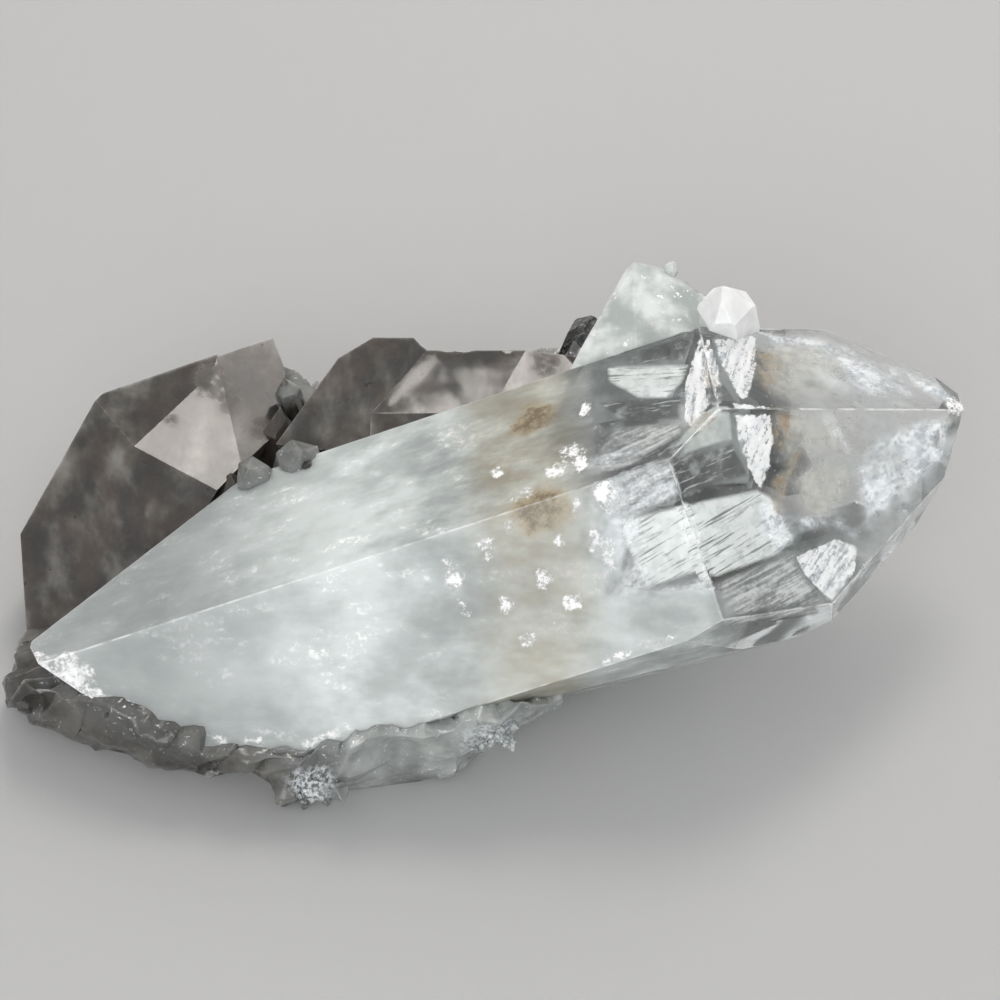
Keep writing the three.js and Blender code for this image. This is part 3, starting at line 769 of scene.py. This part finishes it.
def white_fracture():
    """A white crack, crushed to lace along its border, with a painted glow that makes it sparkle."""
    s = Shader("white_fracture")
    lace = s.blend(s.noise(1.0, 6.0, 0.75), grained(s, 0.6, 5.0, 3.0), 0.5)
    missing = s.times(s.rest(s.value("fade")), 0.35)
    alpha = s.remap(s.math("SUBTRACT", lace, missing), 0.34, 0.48, 0.0, 0.97)
    streaks = s.blend(grained(s, 0.7, 6.0, 9.0), s.noise(0.5, 5.0, 0.8), 0.6)
    colour = s.mix(s.remap(streaks, 0.4, 0.54), (0.36, 0.39, 0.42, 1), grey(0.98))
    return sheet_look(s, colour, alpha, 0.3, 0.46)


def rust_film():
    """Blurred brown patches that fade to beige, with a faint painted glow."""
    s = Shader("rust_film")
    patches = s.noise(1.8, 6.0, 0.7)
    alpha = s.times(s.value("fade"), s.remap(patches, 0.34, 0.62, 0.12, 0.8))
    colour = s.mix(s.remap(patches, 0.42, 0.66), (0.68, 0.60, 0.47, 1), (0.38, 0.26, 0.14, 1))
    return sheet_look(s, colour, alpha, 0.6, 0.2)


def beige_haze():
    """An even beige cloud, with a faint painted glow."""
    s = Shader("beige_haze")
    alpha = s.times(s.value("fade"), s.remap(s.noise(3.0, 4.0, 0.6), 0.3, 0.7, 0.55, 0.85))
    light = s.remap(s.noise(1.2, 5.0, 0.7), 0.35, 0.65)
    colour = s.mix(light, (0.56, 0.55, 0.49, 1), (0.80, 0.79, 0.73, 1))
    return sheet_look(s, colour, alpha, 0.5, 0.22)


def pale_plate():
    """A pale plane with fine dark lines along its grain, and a painted glow."""
    s = Shader("pale_plate")
    lines = grained(s, 0.45, 18.0, 5.0)
    dark = s.times(s.remap(lines, 0.51, 0.6), s.remap(grained(s, 2.2, 2.5, 8.0), 0.4, 0.56))
    light = s.remap(s.noise(1.3, 5.0, 0.7), 0.35, 0.65)
    colour = s.mix(light, (0.68, 0.72, 0.7, 1), (0.93, 0.96, 0.95, 1))
    colour = s.mix(dark, colour, (0.2, 0.21, 0.2, 1))
    alpha = s.times(s.value("fade"), 0.86)
    return sheet_look(s, colour, alpha, 0.3, 0.42)


def pale_pane():
    """A pale, even inner face, with a painted glow."""
    s = Shader("pale_pane")
    light = s.remap(s.noise(1.6, 5.0, 0.65), 0.35, 0.65)
    colour = s.mix(light, (0.52, 0.56, 0.54, 1), (0.72, 0.76, 0.74, 1))
    return sheet_look(s, colour, s.times(s.value("fade"), 0.85), 0.3, 0.3)


def bright_streaks():
    """Bright threads that run close together along a grey sheet's grain, with a faint painted glow."""
    s = Shader("bright_streaks")
    threads = s.blend(grained(s, 0.6, 10.0, 21.0), s.noise(0.9, 5.0, 0.75), 0.65)
    colour = s.mix(s.remap(threads, 0.42, 0.6), (0.24, 0.25, 0.25, 1), (0.86, 0.88, 0.86, 1))
    return sheet_look(s, colour, s.times(s.value("fade"), 0.8), 0.3, 0.25)


def blue_frost():
    """Bluish white haze with dark flecks in it, and a painted glow that makes it sparkle."""
    s = Shader("blue_frost")
    fine = s.blend(s.noise(0.7, 6.0, 0.8), grained(s, 1.2, 3.0, 31.0), 0.6)
    drift = s.noise(3.6, 4.0, 0.6)
    colour = s.mix(s.remap(fine, 0.44, 0.55), (0.38, 0.42, 0.46, 1), (0.96, 0.98, 1.0, 1))
    alpha = s.times(s.value("fade"), s.remap(drift, 0.3, 0.6, 0.3, 0.95))
    return sheet_look(s, colour, alpha, 0.3, 0.52)


def white_wisps():
    """Threads of white haze that run along a sheet's grain, with a painted glow."""
    s = Shader("white_wisps")
    threads = grained(s, 1.6, 5.0, 17.0)
    fine = s.noise(0.8, 5.0, 0.75)
    amount = s.blend(threads, fine, 0.6)
    alpha = s.times(s.value("fade"), s.remap(amount, 0.38, 0.68, 0.0, 0.85))
    return sheet_look(s, (0.92, 0.95, 0.98, 1), alpha, 0.3, 0.4)


def painted_dark_window():
    """Painted shade: a dark sheet where the crystal's see-through shows dark, with bright threads across it.
    """
    s = Shader("painted_dark_window")
    threads = s.remap(grained(s, 0.6, 9.0, 11.0), 0.56, 0.66)
    wisps = s.remap(s.noise(2.4, 5.0, 0.65), 0.5, 0.7, 0.0, 0.6)
    light = s.larger(threads, wisps)
    colour = s.mix(light, (0.13, 0.135, 0.135, 1), (0.85, 0.88, 0.87, 1))
    alpha = s.times(s.value("fade"), 0.85)
    return sheet_look(s, colour, alpha, 0.2)


SHEET_LOOKS = {
    "white": white_fracture,
    "rust": rust_film,
    "beige": beige_haze,
    "plate": pale_plate,
    "pane": pale_pane,
    "streaks": bright_streaks,
    "frost": blue_frost,
    "dark": painted_dark_window,
    "wisps": white_wisps,
}


# Pieces


def crystal(name, material, longest, neighbours=()):
    """A CAD crystal with true edges, nicked here and there, and faces that aren't quite flat."""
    form = plain_form(frame["nodes"][name])
    edges = sharp_edges(form)
    layer = soften_edges(form, EDGE_WIDTH)
    cut_fine(form, longest * MM, EDGE_STEP * MM, layer)
    piece = piece_from(form, name + "_quartz")
    mesh = piece.data
    points = coordinates(mesh)
    out = normals(mesh)
    distance, which = nearest_edge(points, edges)
    inner = smooth(0.2, 2.5, distance)
    points = points + out * (FACE_WAVE * layered_noise(points, 9.0, 3) * inner)[:, None]
    points = points + out * (STEP_HEIGHT * striae(points) * inner)[:, None]
    chip = smooth(0.3, 0.8, layered_noise(points, 2.2, 21)) * smooth(0.0, 0.5, noise(points, 13.0, 5))
    depth = NICK_DEPTH * chip * smooth(1.1, 0.0, distance)
    points = points - edges[2][which] * depth[:, None]
    if neighbours:
        points = close_gaps(points, [trees[n] for n in neighbours])
    move_to(mesh, points)
    pixels = pixels_of(points)
    etched = np.zeros(len(points))
    for pixel_x, pixel_y, reach in ETCHED:
        away = np.linalg.norm(pixels - np.array((pixel_x, pixel_y)), axis=1)
        away = away + 9 * layered_noise(points, 4.0, 15)
        etched = np.maximum(etched, smooth(reach, 0.1 * reach, away))
    keep_value(mesh, "etched", etched)
    shade(piece)
    finish_piece(piece, material, name)
    return piece, points


def striae(points):
    """The fine steps that run across a crystal's long axis, from -1 to 1."""
    along = (points - np.array(SETTING_OUT) - np.array(MAIN_CENTRE)) @ np.array(MAIN_AXIS)
    wander = noise(points, 12.0, 8)
    line = np.stack([along + wander, np.zeros(len(points)), np.zeros(len(points))], axis=1)
    return noise(line, 1.7, 14) * smooth(-0.2, 0.6, noise(points, 18.0, 9))


def finish_piece(piece, material, *nodes):
    piece.data.materials.clear()
    piece.data.materials.append(material)
    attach(piece, "root")
    if nodes:
        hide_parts(*nodes)


def milk_at(points, pixels):
    """How milky the main crystal is at each point, from its root to its head, and along its lower edge."""
    across = points[:, 0] - SETTING_OUT.x + 3.5 * noise(points, 13.0, 31) + 1.5 * noise(points, 4.0, 32)
    milk = MILK_ROOT - (MILK_ROOT - MILK_MIDDLE) * smooth(-28, -2, across)
    milk = milk - (MILK_MIDDLE - MILK_WINDOW) * smooth(6, 18, across)
    milk = milk + (MILK_HEAD - MILK_WINDOW) * smooth(34, 40, across)
    low_band = smooth(575, 610, pixels[:, 1]) * smooth(780, 690, pixels[:, 0] + 20 * noise(points, 5.0, 37))
    return np.maximum(milk, 0.62 * low_band)


def main_crystal():
    piece, points = crystal("main_crystal", main_quartz(), 1.3)
    pixels = pixels_of(points)
    keep_value(piece.data, "milk", milk_at(points, pixels))
    drift = pixels[:, 0] + 25 * noise(points, 9.0, 36)
    keep_value(piece.data, "tone", np.interp(drift, TONE_AT, TONES))
    keep_value(piece.data, "beige", smooth(*BEIGE_FROM, drift) * smooth(*BEIGE_TO[::-1], drift))
    towards = normals(piece.data) @ np.array((0, -math.cos(CAMERA_DOWN), math.sin(CAMERA_DOWN)))
    # The listed white spots, on faces towards the camera: partly crushed quartz, partly painted glints.
    crushed_and_glint = np.zeros(len(points))
    for outline in CRUSHED_AND_GLINTS:
        corners = [Vector(corner) for corner in outline]
        middle = sum(corners, Vector((0, 0))) / len(corners)
        reach = max((corner - middle).length for corner in corners) + 12
        near = np.nonzero((np.linalg.norm(pixels - np.array(middle), axis=1) < reach) & (towards > 0.1))[0]
        for i in near:
            inner = border_distance(Vector(pixels[i]), corners)
            crushed_and_glint[i] = max(crushed_and_glint[i], smooth(*CRUSHED_AND_GLINT_SOFT, inner))
    keep_value(piece.data, "crushed_and_glint", crushed_and_glint)
    stain = np.zeros(len(points))
    for pixel_x, pixel_y, size, strength in STAINS:
        middle = np.array(surface_spot(pixel_x, pixel_y)) / MM
        away = np.linalg.norm(points - middle, axis=1) + 2.2 * layered_noise(points, 4.0, 34)
        stain = np.maximum(stain, strength * smooth(size, 0.2 * size, away))
    keep_value(piece.data, "stain", stain)


def border_distance(point, outline):
    """How far a point is inside an outline, in the outline's own unit; below 0 outside."""
    inside = False
    nearest = math.inf
    for start, end in zip(outline, outline[1:] + outline[:1]):
        if (start.y > point.y) != (end.y > point.y):
            crossing = start.x + (point.y - start.y) / (end.y - start.y) * (end.x - start.x)
            inside = inside != (point.x < crossing)
        run = end - start
        share = min(max((point - start).dot(run) / run.dot(run), 0), 1)
        nearest = min(nearest, (point - start - run * share).length)
    return nearest if inside else -nearest


def sheet_points(depths, soft, grain, outline):
    """The places, and the border and grain values, of a sheet's points, by grid cell."""
    corners = [Vector(corner) for corner in outline]
    low = Vector((min(c.x for c in corners), min(c.y for c in corners)))
    high = Vector((max(c.x for c in corners), max(c.y for c in corners)))
    middle = (low + high) / 2
    eye, way = pixel_ray(*middle)
    face = trees["main_crystal"].ray_cast(eye, way)[1]
    turn = math.radians(grain)
    found = {}
    for i in range(int((high.x - low.x) / SHEET_GRAIN) + 1):
        for j in range(int((high.y - low.y) / SHEET_GRAIN) + 1):
            pixel = low + Vector((i, j)) * SHEET_GRAIN
            inner = border_distance(pixel, corners)
            eye, way = pixel_ray(*pixel)
            spot, normal, _, _ = trees["main_crystal"].ray_cast(eye, way)
            if inner < -SHEET_GRAIN or spot is None or normal.dot(face) < 0.99:
                continue
            share = (pixel.x - low.x) / (high.x - low.x)
            crumple = 0.35 * noise(np.array([[pixel.x, pixel.y, low.x]]), 7.0, 71)[0]
            depth = depths[0] + (depths[1] - depths[0]) * share + crumple
            away = (pixel - middle) * MM_PER_PIXEL
            along = away.x * math.cos(turn) - away.y * math.sin(turn)
            across = away.x * math.sin(turn) + away.y * math.cos(turn)
            place = inside_spot(pixel.x, pixel.y, max(depth, 0.25))
            found[i, j] = (place, smooth(-1, soft, inner), along, across)
    return found


def sheets():
    """The cracks, films and plates inside the main crystal, one mesh for each kind."""
    for kind, look in SHEET_LOOKS.items():
        places, faces, fade, along, across = [], [], [], [], []
        for sheet_kind, left, right, soft, grain, outline in SHEETS:
            if sheet_kind != kind:
                continue
            found = sheet_points((left, right), soft, grain, outline)
            number = {}
            for cell, (place, inner, a, b) in found.items():
                number[cell] = len(places)
                places.append(place)
                fade.append(inner)
                along.append(a)
                across.append(b + 10 * left)
            for i, j in found:
                corner_cells = [(i, j), (i + 1, j), (i + 1, j + 1), (i, j + 1)]
                if all(cell in number for cell in corner_cells):
                    faces.append([number[cell] for cell in corner_cells])
        mesh = bpy.data.meshes.new(kind + "_sheets")
        mesh.from_pydata(places, [], faces)
        keep_value(mesh, "fade", fade)
        keep_value(mesh, "along", along)
        keep_value(mesh, "across", across)
        piece = bpy.data.objects.new(kind + "_sheets", mesh)
        bpy.context.scene.collection.objects.link(piece)
        mesh.shade_smooth()
        finish_piece(piece, look())


# Where small points stand on the root, in setting-out millimetres, with how far they spread and how sugary
# they are, from 0 to 1.
DRUSE_SPOTS = [
    ((-23.4, -24.8, -23.6), 4.2, 1.0),
    ((-1.2, -22.6, -17.0), 4.2, 0.6),
    ((-25.9, -21.4, -20.4), 4.0, 0.0),
    ((-29.4, 14.0, -9.0), 7.0, 0.0),
    ((-27.2, 25.0, -11.0), 5.0, 0.0),
    ((-18.0, 33.6, -21.5), 7.0, 0.7),
    ((-45.0, 30.5, -22.0), 7.5, 0.7),
    ((4.0, 34.0, -20.5), 7.5, 0.7),
    ((28.0, 19.5, -15.0), 6.5, 0.0),
]


# How light the root is, at these pixels across the picture.
LIGHT_AT = (60, 160, 290, 340, 520)
LIGHTS = (0.0, 0.05, 0.12, 0.7, 1.0)

# How far the main crystal's milk reaches into the root, in millimetres.
CONTACT_REACH = 3.6


def root():
    """The broken root: facets and ledges on the solid's own form, and clumps of small points."""
    node = frame["nodes"]["root"]
    form = plain_form(node)
    cut_fine(form, ROOT_STEP * MM)
    piece = piece_from(form, "root_quartz")
    mesh = piece.data
    points = coordinates(mesh)
    out = normals(mesh)
    off_floor = smooth(0.0, 1.2, points[:, 2])
    sugar = np.zeros(len(points))
    kept = np.zeros(len(points))
    for spot, reach, amount in DRUSE_SPOTS:
        away = np.linalg.norm(points - np.array(Vector(spot) + SETTING_OUT), axis=1)
        near = smooth(1.3 * reach, 0.8 * reach, away)
        sugar = np.maximum(sugar, amount * near)
        kept = np.maximum(kept, near)
    rough = sum(depth * scooped(points, size, seed) for depth, size, seed in SCOOPS)
    points = points + out * (rough * off_floor * (1 - kept))[:, None]
    points[:, 2] = np.maximum(points[:, 2], 0)
    others = ["main_crystal", "left_crystal", "rear_crystal", "rear_blade", "upper_crystal", "clear_point"]
    points = close_gaps(points, [trees[n] for n in others], 0.5)
    move_to(mesh, points)
    pixels = pixels_of(points)
    light = np.interp(pixels[:, 0] + 20 * noise(points, 6.0, 63), LIGHT_AT, LIGHTS)
    rear = smooth(560, 480, pixels[:, 1])
    keep_value(mesh, "light", light * (1 - rear) + 0.35 * rear)
    keep_value(mesh, "sugar", sugar)
    keep_value(mesh, "contact", contact_at(points))
    shade(piece, 22)
    finish_piece(piece, milky_root(), "root")


def contact_at(points):
    """How close each point of the root is to the main crystal, from 0, far, to 1."""
    away = np.full(len(points), CONTACT_REACH)
    for i, point in enumerate(points):
        distance = trees["main_crystal"].find_nearest(Vector(point) * MM, CONTACT_REACH * MM)[3]
        if distance is not None:
            away[i] = distance / MM
    return smooth(CONTACT_REACH, 0.4, away + 1.6 * noise(points, 2.6, 77))


def add_point(form, foot, way, width, length, turn):
    """Adds a six-sided point that stands on foot, in metres."""
    side = way.orthogonal().normalized()
    side.rotate(Quaternion(way, turn))
    other = way.cross(side)
    rings = []
    for height, share in ((-0.3, 1.0), (0.62, 0.92)):
        ring = []
        for k in range(6):
            angle = k * math.pi / 3
            arm = side * math.cos(angle) + other * math.sin(angle)
            ring.append(form.verts.new(foot + way * length * height + arm * width / 2 * share))
        rings.append(ring)
    tip = form.verts.new(foot + way * length)
    for k in range(6):
        nxt = (k + 1) % 6
        form.faces.new((rings[0][k], rings[0][nxt], rings[1][nxt], rings[1][k]))
        form.faces.new((rings[1][k], rings[1][nxt], tip))
    form.faces.new(rings[0][::-1])


# Single points behind the main crystal's root end, in setting-out millimetres and degrees: foot, azimuth
# and tilt, width, length and turn.
SHARDS = [
    ((-27.2, 14.4, -14.0), -60, 62, 6.6, 10.6, 20),
    ((-34.6, 9.8, -15.5), 110, 74, 7.0, 7.4, 15),
    ((-27.2, 25.0, -15.5), 160, 80, 3.8, 10.8, 5),
    ((-30.0, 18.5, -16.0), 80, 66, 5.4, 9.6, 35),
    ((-25.0, 19.0, -14.5), 40, 62, 6.5, 10.0, 50),
    ((-21.5, 20.0, -13.0), 60, 70, 5.0, 8.0, 10),
]


def shards(material):
    form = bmesh.new()
    for foot, azimuth, tilt, width, length, turn in SHARDS:
        a, e = math.radians(azimuth), math.radians(tilt)
        way = Vector((math.cos(e) * math.cos(a), math.cos(e) * math.sin(a), math.sin(e)))
        add_point(form, at(foot), way, width * MM, length * MM, math.radians(turn))
    piece = piece_from(form, "shards")
    keep_value(piece.data, "edge", np.zeros(len(piece.data.vertices)))
    keep_value(piece.data, "etched", np.zeros(len(piece.data.vertices)))
    finish_piece(piece, material)


def small_points(material):
    """Sugary points of quartz that crowd the clumps on the root."""
    form = bmesh.new()
    dice = np.random.RandomState(11)
    for spot, reach, amount in DRUSE_SPOTS:
        for _ in range(int(60 * reach * amount)):
            aside = Vector(dice.normal(size=3)) * 0.45
            if aside.length > 0.85:
                continue
            aim = at(Vector(spot) + aside * reach)
            foot, normal, _, _ = trees["root"].find_nearest(aim)
            way = (normal + Vector(dice.normal(size=3)) * 0.35).normalized()
            if foot.z < 1.5 * MM or way.z < -0.2:
                continue
            width = dice.uniform(0.3, 1.0) * (1.15 - aside.length) * MM
            add_point(form, foot, way, width, width * dice.uniform(0.5, 1.0), dice.uniform(0, 1))
    piece = piece_from(form, "small_points")
    keep_value(piece.data, "edge", np.zeros(len(piece.data.vertices)))
    finish_piece(piece, material)


# Floor, light and camera


def floor():
    form = bmesh.new()
    bmesh.ops.create_grid(form, x_segments=2, y_segments=2, size=2.5)
    piece = piece_from(form, "floor")
    piece.location.z = -0.02 * MM
    s = Shader("floor")
    surface = s.add("ShaderNodeBsdfPrincipled")
    s.feed(surface.inputs["Base Color"], grey(0.46))
    s.feed(surface.inputs["Roughness"], 0.7)
    s.tree.links.new(surface.outputs[0], s.output.inputs["Surface"])
    piece.data.materials.append(s.material)


def soft_light(name, azimuth, elevation, away, width, height, power, tint=(1, 1, 1)):
    """A soft box that faces the cluster."""
    data = bpy.data.lights.new(name, "AREA")
    data.shape = "RECTANGLE"
    data.size = width
    data.size_y = height
    data.energy = power
    data.color = tint
    lamp = bpy.data.objects.new(name, data)
    bpy.context.scene.collection.objects.link(lamp)
    a, e = math.radians(azimuth), math.radians(elevation)
    way = Vector((math.cos(e) * math.cos(a), math.cos(e) * math.sin(a), math.sin(e)))
    lamp.location = at((0, 0, -8)) + way * away
    lamp.rotation_euler = way.to_track_quat("Z", "Y").to_euler()


def lights():
    soft_light("key", 80, 58, 0.6, 0.21, 0.2, 0.95, (1.0, 0.95, 0.89))
    soft_light("window", 60, 43, 0.6, 0.34, 0.16, 0.42, (1.0, 0.95, 0.89))
    soft_light("front_fill", -103, 34, 0.7, 0.5, 0.34, 1.5, (0.97, 0.99, 1.0))


def world():
    made = bpy.data.worlds.new("studio")
    bpy.context.scene.world = made
    made.use_nodes = True
    made.node_tree.nodes["Background"].inputs["Color"].default_value = grey(0.72)
    made.node_tree.nodes["Background"].inputs["Strength"].default_value = 1.0


def camera():
    data = bpy.data.cameras.new("camera")
    data.lens = CAMERA_LENS
    data.sensor_width = CAMERA_SENSOR
    data.clip_start = 0.01
    lens = bpy.data.objects.new("camera", data)
    bpy.context.scene.collection.objects.link(lens)
    way = Vector((0, -math.cos(CAMERA_DOWN), math.sin(CAMERA_DOWN)))
    lens.location = at((0, 0, 0)) + way * CAMERA_AWAY
    lens.rotation_euler = (math.pi / 2 - CAMERA_DOWN, 0, 0)
    bpy.context.scene.camera = lens


def picture():
    """How light is followed and shown."""
    scene = bpy.context.scene
    scene.view_settings.view_transform = "Standard"
    cycles = scene.cycles
    cycles.max_bounces = 8
    cycles.transmission_bounces = 8
    cycles.transparent_max_bounces = 12
    cycles.diffuse_bounces = 3
    cycles.sample_clamp_indirect = 6
    cycles.use_denoising = True
    cycles.use_adaptive_sampling = True
    cycles.adaptive_threshold = 0.05
    cycles.adaptive_min_samples = 12


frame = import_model()
trees = {name: solid_tree(node) for name, node in frame["nodes"].items()}

camera()
floor()
lights()
world()
picture()

smoky = smoky_quartz()
pale = pale_quartz((0.70, 0.75, 0.73, 1), (0.86, 0.89, 0.88, 1), 0.55, 0.85)
bright = pale_quartz((0.93, 0.95, 0.96, 1), grey(0.99), 0.85, 1.0)
main_crystal()
crystal("left_crystal", smoky, 1.2, ["main_crystal"])
crystal("rear_crystal", smoky, 0.9, ["main_crystal", "upper_crystal"])
crystal("rear_blade", smoky, 0.8, ["main_crystal", "rear_crystal", "left_crystal"])
crystal("upper_crystal", pale, 0.8, ["main_crystal"])
crystal("clear_point", clear_quartz(), 0.6, ["rear_crystal", "upper_crystal"])
crystal("side_point", bright, 0.6, ["main_crystal", "upper_crystal"])
root()
shards(smoky)
small_points(pale)
sheets()
